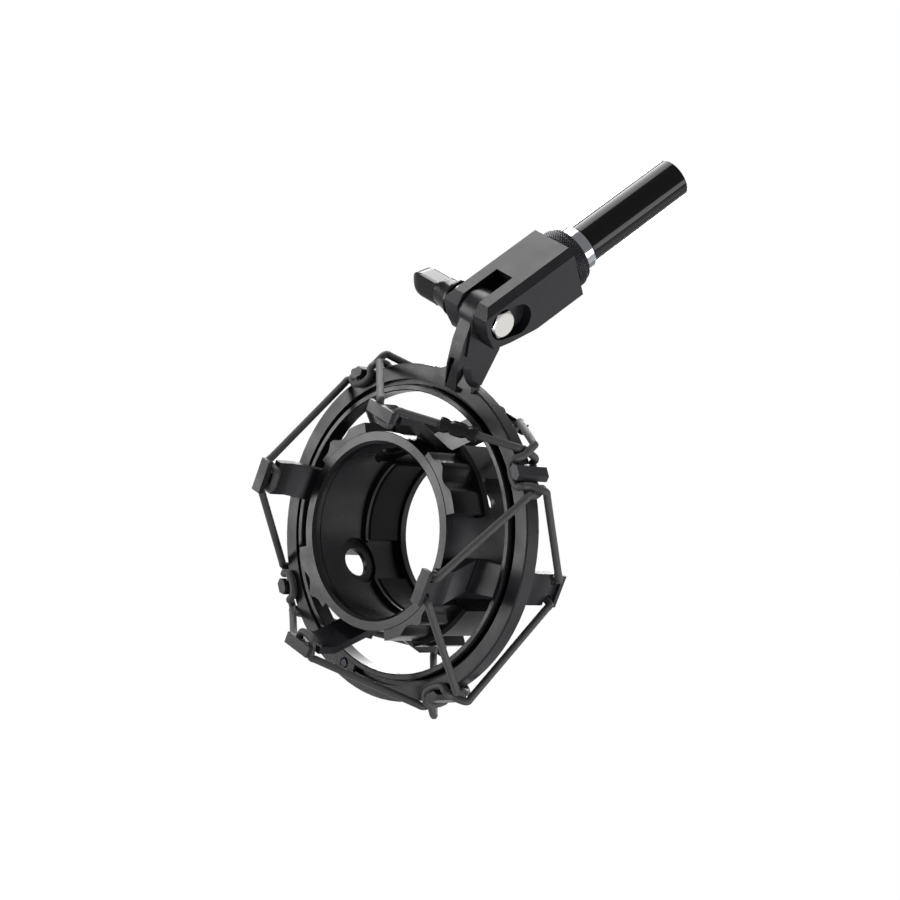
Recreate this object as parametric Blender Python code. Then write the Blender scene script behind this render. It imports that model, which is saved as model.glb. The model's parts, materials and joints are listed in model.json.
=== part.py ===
"""Elastic suspension mount for a large studio microphone, on the end of a boom tube.

The outer ring hangs by its stem from a forked pivot block. The block is turned onto the threaded
tip of the boom tube and clamped by a wing lever. Two closed elastic cords float the cradle inside
the ring, and a lobed ring turned on the cradle closes its grip pads on the microphone body.
Lengths are in millimetres here and become metres when a mesh is made.
Local axes: Y is the microphone axis (front is -Y), Z rises along the stem, X runs along the bolt.
"""
import bpy
import bmesh
from math import sin, cos, pi, radians, degrees, atan2, asin, acos, hypot
from mathutils import Vector

MM = 0.001
GAP = 0.3                 # clearance left between neighbouring pieces
RUN = 0.35                # side clearance of the stem inside the fork

# outer ring
RING_OUTER_R = 51.75
RING_HALF = 3.0           # half its length along the microphone axis
RIM_WIDTH = 4.75          # broad front face, from the outer edge to the groove
GROOVE_WIDTH = 1.8        # open groove between the front face and the hoop
GROOVE_DEPTH = 2.0
HOOP_WALL = 1.85
HOOP_PROUD = 0.9          # the hoop stands forward of the ring face
LUG_WIDTH = 11.0          # screw lug of the hoop, in degrees of arc
SCREW_R = 0.8
SCREW_HEAD_R = 1.5

# cord pegs moulded on the rim
PEG_ANGLES = (45, 135, 225, 315)
PEG_REACH = 3.6           # stub length beyond each face of the ring
PEG_HALF_WIDTH = 2.7
PEG_IN = 0.75             # how far the peg is let into the rim
PEG_OUT = 2.15            # how far it stands off the rim

# stem and pivot
STEM_HALF = 2.5
STEM_PAD_HALF = 3.2
GUSSET_REACH = 8.3        # the stem's foot flares this far to each side on the rim
PIVOT_Y = -1.9
PIVOT_RISE = 20.85        # bolt axis above the ring's outer edge
BOSS_R = 7.0

# cradle
MOUTH_EASE = 1.1          # the mouth is wider than the grip by this much all round
SLEEVE_WALL = 3.2
SLEEVE_REAR = 24.5
REAR_STOP = 1.0           # the rear lip reaches this far inside the grip
REAR_LIP = 2.9
RIDGE_Y = 7.2
RIDGE_EASE = 0.4
GRIP_R = 25.4             # the pads hold a body of this radius
ARM_HALF_WIDTH = 5.3
ARM_THICK = 2.3
ARM_RISE = 9.3            # outer face of the straight part of an arm, over the cradle's wall
ARM_END = 30.0
ARM_BEND = 18.5
ARM_FOOT = 0.3
ARM_LIP = 1.3
NOTCH_Y = 26.7
BRIDGE_HALF = 1.6
PORT_R = 4.5              # round ports through the cradle wall
PORT_BOX_R = 7.5
PORT_Y = 3.8

# twist ring
TWIST_FRONT = -14.6
TWIST_LIP = 2.7
TWIST_REAR = 19.3
FLUTE_END = -1.7
LOBE_START = 34.5
LOBE_ARC = 38.0
REAR_LEAD = 1.2           # the rear part of a lobe is longer at each end, degrees
REAR_TRAIL = 0.9
WINDOW_HALF = 4.8         # slot through each lobe, from the cradle's port to its rear end
LOBE_RISE = 5.5           # heights of the lobes over the cradle's wall
LAND_RISE = 3.7
CREST_RISE = 4.1
VALLEY_RISE = 2.1

# cords
CORD_R = 1.15
FERRULE_R = 2.3
FERRULE_LENGTH = 11.5

# pivot block: T runs out along the boom tube, N stands square to it
TILT = 41.2               # tube direction above the horizontal, degrees
BLOCK_CHEEK = 1.36        # wall beside the thread
BLOCK_ROOF = 1.46         # wall above the thread
TUBE_DROP = 2.0           # tube axis below the bolt axis, along N
BLOCK_LENGTH = 30.5
BLOCK_CHAMFER = 2.1
BLOCK_NOSE = 6.5          # reach of the fork's flat end past the bolt
SLOT_DEPTH = 11.0
BOLT_R = 2.5
HEAD_FLATS = 8.0
HEAD_HEIGHT = 3.5
HEAD_TURN = 44            # a corner of the head above the tube direction, degrees
HEAD_POCKET = 3.6
POCKET_R = 4.8
POCKET_RUN = 5.5          # the pocket runs on by this much along the block,
POCKET_FALL = 1.9         # and down by this much towards the tube's axis

# boom
THREAD_R = 7.94
LOCK_WALL = 1.86          # lock ring over its thread
LOCK_NECK_WALL = 1.06
LOCK_RIM = 3.2
LOCK_LENGTH = 5.0
COLLAR_STEP = 0.95        # the chrome collar stands proud of the tube
COLLAR_LENGTH = 4.0
TUBE_R = 6.35
TUBE_WALL = 1.0
TUBE_LENGTH = 40.0
SPIGOT_IN = 14.0

# wing lever
HUB_R = 5.8
HUB_LENGTH = 7.2
WING_LENGTH = 12.0
WING_HALF = 5.2
WING_TIP_HALF = 4.2
WING_THICK = 4.4
WING_TURN = 116.6         # direction of the wing's width about the bolt, degrees above +Y
WASHER_R = 5.2
WASHER_THICK = 0.7
NUT_R = 4.2
NUT_LENGTH = 4.6

X = Vector((1, 0, 0))
Y = Vector((0, 1, 0))
Z = Vector((0, 0, 1))
T = Vector((0, cos(radians(TILT)), sin(radians(TILT))))
N = Vector((0, -sin(radians(TILT)), cos(radians(TILT))))
CENTRE = Vector((0, 0, 0))

RING_WALL_R = RING_OUTER_R - RIM_WIDTH
HOOP_R = RING_WALL_R - GROOVE_WIDTH - HOOP_WALL
PIVOT_Z = RING_OUTER_R + PIVOT_RISE
BORE_R = GRIP_R + MOUTH_EASE
SLEEVE_R = BORE_R + SLEEVE_WALL
RIDGE_R = GRIP_R + RIDGE_EASE
REAR_LIP_R = GRIP_R - REAR_STOP
ARM_R = SLEEVE_R + ARM_RISE
LOBE_R = SLEEVE_R + LOBE_RISE
LAND_R = SLEEVE_R + LAND_RISE
CREST_R = SLEEVE_R + CREST_RISE
VALLEY_R = SLEEVE_R + VALLEY_RISE
BLOCK_HALF = THREAD_R + GAP + BLOCK_CHEEK
BLOCK_TOP = THREAD_R + GAP + BLOCK_ROOF - TUBE_DROP
LOCK_R = THREAD_R + LOCK_WALL
LOCK_NECK_R = THREAD_R + LOCK_NECK_WALL
COLLAR_R = TUBE_R + COLLAR_STEP
PIVOT = Vector((0, PIVOT_Y, PIVOT_Z))
TUBE_AXIS = PIVOT - N * TUBE_DROP
LOCK_START = BLOCK_LENGTH + GAP
COLLAR_START = LOCK_START + LOCK_LENGTH + GAP
TUBE_START = COLLAR_START + COLLAR_LENGTH + GAP
BOOM_END = TUBE_START + TUBE_LENGTH
ORIGIN = TUBE_AXIS + T * BOOM_END        # centre of the cut end of the tube

RING_FRAME = (CENTRE, X, Z, Y)           # outline in the plane of the ring, height along Y
TUBE_FRAME = (TUBE_AXIS, X, N, T)
BOLT_FRAME = (PIVOT, T, N, X)


# ---------------------------------------------------------------- shaping tools

def clear_scene():
    for ob in list(bpy.data.objects):
        bpy.data.objects.remove(ob, do_unlink=True)


def spot(frame, a, b, c):
    """Point a, b across and c along a frame."""
    base, u, v, w = frame
    return (base + u * a + v * b + w * c - ORIGIN) * MM


def add_prism(bm, frame, outline, low, high):
    """Closed outline carried from low to high along the frame's third axis."""
    start = [bm.verts.new(spot(frame, a, b, low)) for a, b in outline]
    end = [bm.verts.new(spot(frame, a, b, high)) for a, b in outline]
    bm.faces.new(start)
    bm.faces.new(list(reversed(end)))
    count = len(outline)
    for i in range(count):
        j = (i + 1) % count
        bm.faces.new((start[j], start[i], end[i], end[j]))


def add_turned(bm, frame, profile, steps, start=0.0, arc=360.0):
    """Closed profile of (radius, height) turned about the frame's third axis."""
    whole = arc > 359.9
    count = steps if whole else steps + 1
    rows = []
    for radius, height in profile:
        if radius < 1e-6:
            pole = bm.verts.new(spot(frame, 0, 0, height))
            rows.append([pole] * count)
            continue
        row = []
        for k in range(count):
            turn = radians(start + arc * k / steps)
            row.append(bm.verts.new(spot(frame, radius * cos(turn), radius * sin(turn), height)))
        rows.append(row)
    for i in range(len(rows)):
        here, there = rows[i], rows[(i + 1) % len(rows)]
        if here[0] is here[-1] and there[0] is there[-1]:
            continue
        for k in range(steps):
            m = (k + 1) % count
            corners = []
            for vert in (here[k], here[m], there[m], there[k]):
                if vert not in corners:
                    corners.append(vert)
            bm.faces.new(corners)
    if not whole:
        bm.faces.new([row[0] for row in rows])
        bm.faces.new([row[-1] for row in reversed(rows)])


def arc_points(cx, cy, radius, first, last, steps):
    """Points along a circular arc, angles in degrees."""
    points = []
    for k in range(steps + 1):
        turn = radians(first + (last - first) * k / steps)
        points.append((cx + radius * cos(turn), cy + radius * sin(turn)))
    return points


def arm_frame(angle):
    """Radial, axial and tangential directions at an angle round the ring."""
    turn = radians(angle)
    out = Vector((cos(turn), 0, sin(turn)))
    side = Vector((-sin(turn), 0, cos(turn)))
    return out, side


def surface(name, colour, metallic, roughness):
    mat = bpy.data.materials.get(name)
    if mat is None:
        mat = bpy.data.materials.new(name)
        mat.use_nodes = True
        shader = mat.node_tree.nodes["Principled BSDF"]
        shader.inputs["Base Color"].default_value = (*colour, 1.0)
        shader.inputs["Metallic"].default_value = metallic
        shader.inputs["Roughness"].default_value = roughness
    return mat


def close_mesh(name, bm, smooth):
    """Finish a bmesh as a mesh with outward faces and crisp edges left sharp."""
    bmesh.ops.recalc_face_normals(bm, faces=bm.faces)
    for face in bm.faces:
        face.smooth = smooth
    for edge in bm.edges:
        if len(edge.link_faces) == 2 and edge.calc_face_angle(0.0) > radians(30):
            edge.smooth = False
    mesh = bpy.data.meshes.new(name)
    bm.to_mesh(mesh)
    bm.free()
    return mesh


def piece(name, bm, look, pivot=None, smooth=True):
    """One named subcomponent, its origin on the point it turns or slides about."""
    mesh = close_mesh(name, bm, smooth)
    mesh.materials.append(surface(name + "_" + look[0], *look[1:]))
    ob = bpy.data.objects.new(name, mesh)
    bpy.context.scene.collection.objects.link(ob)
    if pivot is not None:
        place = (pivot - ORIGIN) * MM
        for vert in mesh.vertices:
            vert.co -= place
        ob.location = place
    return ob


def tool(name, bm):
    """A cutting or joining body kept out of the render."""
    mesh = close_mesh(name, bm, False)
    ob = bpy.data.objects.new(name, mesh)
    tools = bpy.data.collections.get("tools")
    if tools is None:
        tools = bpy.data.collections.new("tools")
        bpy.context.scene.collection.children.link(tools)
    tools.objects.link(ob)
    ob.hide_render = True
    ob.display_type = "WIRE"
    return ob


def shape(ob, other, action):
    mod = ob.modifiers.new(other.name, "BOOLEAN")
    mod.operation = action
    mod.solver = "EXACT"
    mod.object = other


MOULDED = ("glass_filled_nylon", (0.022, 0.022, 0.024), 0.0, 0.5)
SATIN = ("moulded_abs", (0.018, 0.018, 0.020), 0.0, 0.42)
CHROME = ("chrome_plate", (0.75, 0.76, 0.77), 1.0, 0.12)
BRIGHT = ("nickel_plate", (0.66, 0.66, 0.64), 1.0, 0.25)
RUBBER = ("silicone_rubber", (0.025, 0.025, 0.026), 0.0, 0.75)
BRAID = ("braided_elastic", (0.020, 0.020, 0.022), 0.0, 0.85)
ENAMEL = ("gloss_enamel", (0.012, 0.012, 0.013), 0.0, 0.12)


# ---------------------------------------------------------------- outer ring

HOOP_OUTER_R = HOOP_R + HOOP_WALL
RING_BORE_R = HOOP_OUTER_R + GAP
HOOP_FRONT = -(RING_HALF + HOOP_PROUD)
GROOVE_FLOOR = -RING_HALF + GROOVE_DEPTH
SHOULDER = 1.1            # rear shoulder of the ring that stops the hoop
LUG_ANGLE = -94.0
SCREW_AT_R = HOOP_OUTER_R + 1.7
LUG_OUTER_R = SCREW_AT_R + SCREW_HEAD_R + 0.2
SCREW_SEAT = HOOP_FRONT + 1.3
PEG_R = RING_OUTER_R + (PEG_OUT - PEG_IN) / 2
PEG_HALF_DEPTH = (PEG_OUT + PEG_IN) / 2


def screw_frame():
    out, side = arm_frame(LUG_ANGLE)
    return (out * SCREW_AT_R, side, out, Y)


def add_round(bm, frame, radius, low, high, steps=32):
    add_turned(bm, frame, [(0, low), (radius, low), (radius, high), (0, high)], steps)


def stem_outline():
    shoulder = PIVOT_Z - 9.9
    points = [(-2.2, RING_WALL_R + 0.5), (-4.2, RING_WALL_R + 0.5)]
    points += [(-6.7, RING_OUTER_R + 3.05), (-8.0, shoulder)]
    points += arc_points(PIVOT_Y, PIVOT_Z, BOSS_R, 210, -10, 20)
    points += [(8.0, shoulder), (5.9, RING_OUTER_R - 1.1), (2.2, RING_WALL_R + 2.5)]
    return points


def build_ring():
    half = RING_HALF
    bm = bmesh.new()
    profile = [(RING_BORE_R - SHOULDER, half), (RING_BORE_R - SHOULDER, half - SHOULDER)]
    profile += [(RING_BORE_R, half - SHOULDER), (RING_BORE_R, GROOVE_FLOOR)]
    profile += [(RING_WALL_R, GROOVE_FLOOR), (RING_WALL_R, -half)]
    profile += [(RING_OUTER_R - 0.4, -half), (RING_OUTER_R, 0.4 - half)]
    profile += [(RING_OUTER_R, half - 1.0), (RING_OUTER_R - 0.9, half)]
    add_turned(bm, RING_FRAME, profile, 84)
    ring = piece("suspension_ring", bm, MOULDED)

    bm = bmesh.new()
    for angle in PEG_ANGLES:
        out, side = arm_frame(angle)
        wide, deep, tip = PEG_HALF_WIDTH, PEG_HALF_DEPTH, PEG_HALF_WIDTH - 1.2
        outline = [(-wide, PEG_R), (-tip, PEG_R - deep), (tip, PEG_R - deep)]
        outline += [(wide, PEG_R), (tip, PEG_R + deep), (-tip, PEG_R + deep)]
        add_prism(bm, (CENTRE, side, out, Y), outline, -half - PEG_REACH, half + PEG_REACH)
    shape(ring, tool("pegs", bm), "UNION")

    bm = bmesh.new()
    add_prism(bm, (CENTRE, Y, Z, X), stem_outline(), -STEM_HALF, STEM_HALF)
    shape(ring, tool("stem", bm), "UNION")

    bm = bmesh.new()
    foot = RING_OUTER_R - 2
    curve = arc_points(GUSSET_REACH, RING_OUTER_R + 5.9, GUSSET_REACH - STEM_HALF + 0.2, 180, 270, 8)
    gusset = [(-x, z) for x, z in curve] + [(-GUSSET_REACH - 0.6, foot), (GUSSET_REACH + 0.6, foot)]
    gusset += [(x, z) for x, z in reversed(curve)]
    add_prism(bm, (CENTRE, X, Z, Y), gusset, -4.7, -1.2)
    shape(ring, tool("gussets", bm), "UNION")

    bm = bmesh.new()
    pad = [(PIVOT_Y - 3.4, PIVOT_Z - 13.5), (PIVOT_Y + 7.6, PIVOT_Z - 13.5)]
    pad += arc_points(PIVOT_Y, PIVOT_Z, BOSS_R - 0.05, -10, 210, 20)
    add_prism(bm, (CENTRE, Y, Z, X), pad, -STEM_PAD_HALF, STEM_PAD_HALF)
    shape(ring, tool("stem_pad", bm), "UNION")

    bm = bmesh.new()
    slot = [(-2.2, RING_OUTER_R - 3.0), (-1.7, RING_OUTER_R - 3.0), (0.45, PIVOT_Z - 15.2)]
    slot += [(-1.8, PIVOT_Z - 15.5)]
    add_prism(bm, (CENTRE, X, Z, Y), slot, -12, -4.3)
    shape(ring, tool("stem_slot", bm), "DIFFERENCE")

    bm = bmesh.new()
    add_round(bm, BOLT_FRAME, BOLT_R + GAP, -6, 6)
    shape(ring, tool("stem_bolt_hole", bm), "DIFFERENCE")

    bm = bmesh.new()
    low = LUG_ANGLE - LUG_WIDTH / 2 - 0.5
    pocket = [(RING_WALL_R - 0.8, GROOVE_FLOOR), (LUG_OUTER_R + GAP, GROOVE_FLOOR)]
    pocket += [(LUG_OUTER_R + GAP, -half - 1), (RING_WALL_R - 0.8, -half - 1)]
    add_turned(bm, RING_FRAME, pocket, 8, low, LUG_WIDTH + 1.0)
    shape(ring, tool("lug_pocket", bm), "DIFFERENCE")

    bm = bmesh.new()
    add_round(bm, screw_frame(), SCREW_R + GAP, GROOVE_FLOOR - 1, half - 0.8, 16)
    shape(ring, tool("screw_hole", bm), "DIFFERENCE")
    return ring


def build_hoop():
    bm = bmesh.new()
    rear = RING_HALF - SHOULDER - GAP
    profile = [(HOOP_R, rear), (HOOP_OUTER_R, rear), (HOOP_OUTER_R, HOOP_FRONT + 0.3)]
    profile += [(HOOP_OUTER_R - 0.3, HOOP_FRONT), (HOOP_R + 0.3, HOOP_FRONT), (HOOP_R, HOOP_FRONT + 0.3)]
    add_turned(bm, RING_FRAME, profile, 72)
    hoop = piece("inner_hoop", bm, SATIN)

    bm = bmesh.new()
    seat = GROOVE_FLOOR - GAP
    front = HOOP_FRONT + 0.25
    lug = [(HOOP_OUTER_R - 1.0, seat), (LUG_OUTER_R, seat), (LUG_OUTER_R, front), (HOOP_OUTER_R - 1.0, front)]
    add_turned(bm, RING_FRAME, lug, 8, LUG_ANGLE - LUG_WIDTH / 2, LUG_WIDTH)
    shape(hoop, tool("hoop_lug", bm), "UNION")

    bm = bmesh.new()
    wide = SCREW_HEAD_R + GAP
    hole = [(0, HOOP_FRONT - 1), (wide, HOOP_FRONT - 1), (wide, SCREW_SEAT)]
    hole += [(SCREW_R + GAP, SCREW_SEAT), (SCREW_R + GAP, seat + 1), (0, seat + 1)]
    add_turned(bm, screw_frame(), hole, 16)
    shape(hoop, tool("lug_hole", bm), "DIFFERENCE")
    return hoop


def build_hoop_screw():
    bm = bmesh.new()
    under = SCREW_SEAT - GAP
    top = under - 1.0
    profile = [(0, top), (SCREW_HEAD_R - 0.2, top), (SCREW_HEAD_R, top + 0.3), (SCREW_HEAD_R, under)]
    profile += [(SCREW_R, under), (SCREW_R, RING_HALF - 1.6), (0, RING_HALF - 1.2)]
    add_turned(bm, screw_frame(), profile, 16)
    return piece("hoop_screw", bm, BRIGHT)


# ---------------------------------------------------------------- cradle

SLEEVE_FRONT = TWIST_FRONT + TWIST_LIP + GAP
LIP_INNER = SLEEVE_REAR - REAR_LIP
PAD_SEAT_R = BORE_R + 0.7
PORT_ANGLE = LOBE_START + 10.5
NOTCH_HALF = CORD_R + GAP


def arm_outline(side):
    """Radius and height along Y of one arm; side is -1 in front, +1 behind."""
    inner = ARM_R - ARM_THICK
    root = SLEEVE_R - 1.1
    points = [(inner, ARM_END), (ARM_R + ARM_LIP, ARM_END), (ARM_R + ARM_LIP, ARM_END - 1.5)]
    points += [(ARM_R, ARM_END - 1.5), (ARM_R, ARM_BEND), (SLEEVE_R + 0.3, ARM_FOOT)]
    points += [(root, ARM_FOOT), (root, ARM_FOOT + 4.8), (SLEEVE_R, ARM_FOOT + 4.8)]
    points += [(inner, ARM_BEND + 0.7)]
    return [(r, side * y) for r, y in points]


def build_sleeve():
    bm = bmesh.new()
    profile = [(BORE_R, SLEEVE_FRONT), (SLEEVE_R, SLEEVE_FRONT), (SLEEVE_R, SLEEVE_REAR - 0.6)]
    profile += [(SLEEVE_R - 0.6, SLEEVE_REAR), (REAR_LIP_R + 0.6, SLEEVE_REAR)]
    profile += [(REAR_LIP_R, SLEEVE_REAR - 0.6), (REAR_LIP_R, LIP_INNER), (PAD_SEAT_R, LIP_INNER)]
    profile += [(PAD_SEAT_R, RIDGE_Y + 1.2), (RIDGE_R, RIDGE_Y + 1.2), (RIDGE_R, RIDGE_Y)]
    profile += [(PAD_SEAT_R, RIDGE_Y), (PAD_SEAT_R, RIDGE_Y - 4.4), (BORE_R, RIDGE_Y - 4.4)]
    add_turned(bm, RING_FRAME, profile, 72)
    sleeve = piece("cradle_sleeve", bm, MOULDED)

    bm = bmesh.new()
    for angle in (0, 90, 180, 270):
        out, side = arm_frame(angle)
        for end in (-1, 1):
            add_prism(bm, (CENTRE, out, Y, side), arm_outline(end), -ARM_HALF_WIDTH, ARM_HALF_WIDTH)
    shape(sleeve, tool("arms", bm), "UNION")

    bm = bmesh.new()
    centre = BRIDGE_HALF + NOTCH_HALF
    for angle in (0, 90, 180, 270):
        out, side = arm_frame(angle)
        for end in (-1, 1):
            for flank in (-1, 1):
                frame = (Y * (end * NOTCH_Y), side * flank, Y, out)
                outline = arc_points(centre, 0, NOTCH_HALF, 90, 270, 6)
                outline += [(ARM_HALF_WIDTH + 1, -NOTCH_HALF), (ARM_HALF_WIDTH + 1, NOTCH_HALF)]
                add_prism(bm, frame, outline, ARM_R - ARM_THICK - 1, ARM_R + ARM_LIP + 1)
    shape(sleeve, tool("arm_notches", bm), "DIFFERENCE")

    bm = bmesh.new()
    for k in range(4):
        out, side = arm_frame(PORT_ANGLE + 90 * k)
        wall = SLEEVE_R - 1.7
        port = [(0, 18), (PORT_BOX_R, 18), (PORT_BOX_R, wall), (PORT_R, wall)]
        port += [(PORT_R, SLEEVE_R + 1), (0, SLEEVE_R + 1)]
        add_turned(bm, (Y * PORT_Y, side, Y, out), port, 20)
    shape(sleeve, tool("sleeve_ports", bm), "DIFFERENCE")
    return sleeve


def build_grip_pads():
    pads = []
    for k in range(4):
        bm = bmesh.new()
        front = RIDGE_Y + 1.2 + GAP
        rear = LIP_INNER - GAP
        outer = PAD_SEAT_R - GAP
        profile = [(GRIP_R, front + 0.4), (GRIP_R + 0.4, front), (outer, front)]
        profile += [(outer, rear), (GRIP_R, rear)]
        add_turned(bm, RING_FRAME, profile, 16, PORT_ANGLE + 90 * k + 14.5, 61)
        pads.append(piece("grip_pad_" + str(k + 1), bm, RUBBER))
    return pads


def lobe_radius(turn):
    """Fluted outside of a lobe, degrees from its first end."""
    if turn <= 12:
        return LAND_R
    if turn <= 25:
        share = (turn - 12) / 13
        edge = LAND_R + (CREST_R - LAND_R) * share
        return edge - (edge - VALLEY_R) * sin(pi * share)
    if turn <= 28:
        return CREST_R
    share = (turn - 28) / (LOBE_ARC - 28)
    edge = CREST_R + (VALLEY_R + 0.3 - CREST_R) * share
    return edge - (edge - VALLEY_R) * sin(pi * share) * 0.8


def build_twist_ring():
    inner = SLEEVE_R + GAP
    bm = bmesh.new()
    back = TWIST_FRONT + TWIST_LIP
    profile = [(BORE_R, TWIST_FRONT + 0.9), (BORE_R + 0.9, TWIST_FRONT), (inner + 0.1, TWIST_FRONT)]
    profile += [(inner + 0.3, TWIST_FRONT + 0.2), (inner + 0.3, back), (BORE_R, back)]
    add_turned(bm, RING_FRAME, profile, 72)
    ring = piece("twist_ring", bm, SATIN)

    bm = bmesh.new()
    for k in range(4):
        first = LOBE_START + 90 * k
        outline = []
        for m in range(31):
            turn = LOBE_ARC * m / 30
            radius = lobe_radius(turn)
            outline.append((radius * cos(radians(first + turn)), radius * sin(radians(first + turn))))
        for m in range(15):
            turn = LOBE_ARC * (14 - m) / 14
            outline.append((inner * cos(radians(first + turn)), inner * sin(radians(first + turn))))
        add_prism(bm, RING_FRAME, outline, TWIST_FRONT + 0.15, FLUTE_END)
    shape(ring, tool("fluted_lobes", bm), "UNION")

    bm = bmesh.new()
    low = FLUTE_END - 0.3
    wall = inner + 0.06
    profile = [(wall, low), (LOBE_R - 0.9, low), (LOBE_R, low + 0.9)]
    profile += [(LOBE_R, TWIST_REAR - 0.6), (LOBE_R - 0.6, TWIST_REAR), (wall, TWIST_REAR)]
    for k in range(4):
        start = LOBE_START + 90 * k - REAR_LEAD
        add_turned(bm, RING_FRAME, profile, 15, start, LOBE_ARC + REAR_LEAD + REAR_TRAIL)
    shape(ring, tool("rear_lobes", bm), "UNION")

    bm = bmesh.new()
    for k in range(4):
        out, side = arm_frame(PORT_ANGLE + 90 * k)
        front, rear, wide = FLUTE_END + 0.9, TWIST_REAR + 2, WINDOW_HALF
        window = arc_points(wide - 1.2, front + 1.2, 1.2, 270, 360, 4) + [(wide, rear), (-wide, rear)]
        window += arc_points(1.2 - wide, front + 1.2, 1.2, 180, 270, 4)
        add_prism(bm, (CENTRE, side, Y, out), window, SLEEVE_R - 1, LOBE_R + 2)
    shape(ring, tool("lobe_windows", bm), "DIFFERENCE")
    return ring


# ---------------------------------------------------------------- elastic cords

CORD_LIFT = RING_OUTER_R + CORD_R + GAP
HOOK_R = PEG_R - PEG_HALF_DEPTH - CORD_R - GAP
HOOK_Y = RING_HALF + CORD_R + GAP
PEG_SIDE = PEG_HALF_WIDTH + CORD_R + GAP


def arm_points(end, angle, flank):
    """Cord through one notch of an arm, from the bridge out to the free span."""
    out, side = arm_frame(angle)
    inner = ARM_R - ARM_THICK - CORD_R - GAP
    clear = ARM_R + CORD_R + GAP
    across = BRIDGE_HALF + NOTCH_HALF
    marks = [(inner - 0.05, 1.5, 0), (inner + 0.35, across - 0.25, 0)]
    marks += [(inner + 1.7, across + 0.1, 0), (clear + 0.2, across + 1.2, -0.1)]
    return [out * r + side * (flank * t) + Y * (end * (NOTCH_Y + s)) for r, t, s in marks]


def peg_points(end, angle, flank):
    """Cord from the free span over the rim and round the far stub of a peg."""
    out, side = arm_frame(angle)
    if end < 0:
        marks = [(CORD_LIFT - 0.1, PEG_SIDE + 3.3, 3.2), (CORD_LIFT - 0.3, PEG_SIDE + 3.0, 0.2)]
        marks += [(CORD_LIFT - 0.4, PEG_SIDE + 1.4, -2.7), (CORD_LIFT - 1.0, PEG_SIDE + 0.5, -HOOK_Y)]
        marks += [(HOOK_R + 0.6, PEG_SIDE - 0.5, -HOOK_Y - 0.1), (HOOK_R - 0.1, 1.4, -HOOK_Y)]
    else:
        marks = [(CORD_LIFT + 2.8, PEG_SIDE + 2.4, 2.8), (CORD_LIFT + 2.5, PEG_SIDE + 1.4, 0.6)]
        marks += [(CORD_LIFT, PEG_SIDE + 0.3, -2.3), (CORD_LIFT - 0.9, PEG_SIDE + 0.2, 0.1 - HOOK_Y)]
        marks += [(HOOK_R + 0.7, PEG_SIDE - 0.5, -HOOK_Y - 0.1), (HOOK_R - 0.1, 1.4, -HOOK_Y)]
    return [out * r + side * (flank * t) + Y * (end * y) for r, t, y in marks]


def cord_path(end):
    points = []
    for k in range(4):
        angle = 90 * k
        points += list(reversed(arm_points(end, angle, -1)))
        points += arm_points(end, angle, 1)
        points += peg_points(end, angle + 45, -1)
        points += list(reversed(peg_points(end, angle + 45, 1)))
    return points


def build_cord(name, end):
    path = cord_path(end)
    data = bpy.data.curves.new(name, "CURVE")
    data.dimensions = "3D"
    data.bevel_depth = CORD_R * MM
    data.bevel_resolution = 2
    data.resolution_u = 1
    spline = data.splines.new("POLY")
    spline.points.add(len(path) - 1)
    for point, place in zip(spline.points, path):
        point.co = (*((place - ORIGIN) * MM), 1.0)
    spline.use_cyclic_u = True
    spline.use_smooth = True
    data.materials.append(surface(name + "_" + BRAID[0], *BRAID[1:]))
    ob = bpy.data.objects.new(name, data)
    bpy.context.scene.collection.objects.link(ob)
    return ob


def build_ferrule(name, end, angle, flank):
    """Crimped sleeve that joins the cord, on the free span beside an arm."""
    start = arm_points(end, angle, flank)[-1]
    stop = peg_points(end, angle + 45 * flank, -flank)[0]
    along = (stop - start).normalized()
    across = along.cross(Y).normalized()
    middle = (start + stop) * 0.5
    frame = (middle, across, along.cross(across), along)
    half = FERRULE_LENGTH / 2
    bore = CORD_R + GAP
    bm = bmesh.new()
    profile = [(bore, -half), (FERRULE_R - 0.3, -half), (FERRULE_R, 0.4 - half)]
    profile += [(FERRULE_R, half - 0.4), (FERRULE_R - 0.3, half), (bore, half)]
    add_turned(bm, frame, profile, 20)
    return piece(name, bm, SATIN)


# ---------------------------------------------------------------- pivot block and bolt

HEAD_SEAT = BLOCK_HALF - HEAD_POCKET
WASHER_AT = -(BLOCK_HALF + GAP)
HUB_AT = WASHER_AT - WASHER_THICK - GAP
HUB_END = HUB_AT - HUB_LENGTH
WING_END = HUB_END - WING_LENGTH
BOLT_END = HUB_AT - NUT_LENGTH + 0.2
SPIGOT_START = BLOCK_LENGTH - SPIGOT_IN


def hexagon(radius, turn=0.0):
    return [(radius * cos(radians(turn + 60 * k)), radius * sin(radians(turn + 60 * k))) for k in range(6)]


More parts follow.
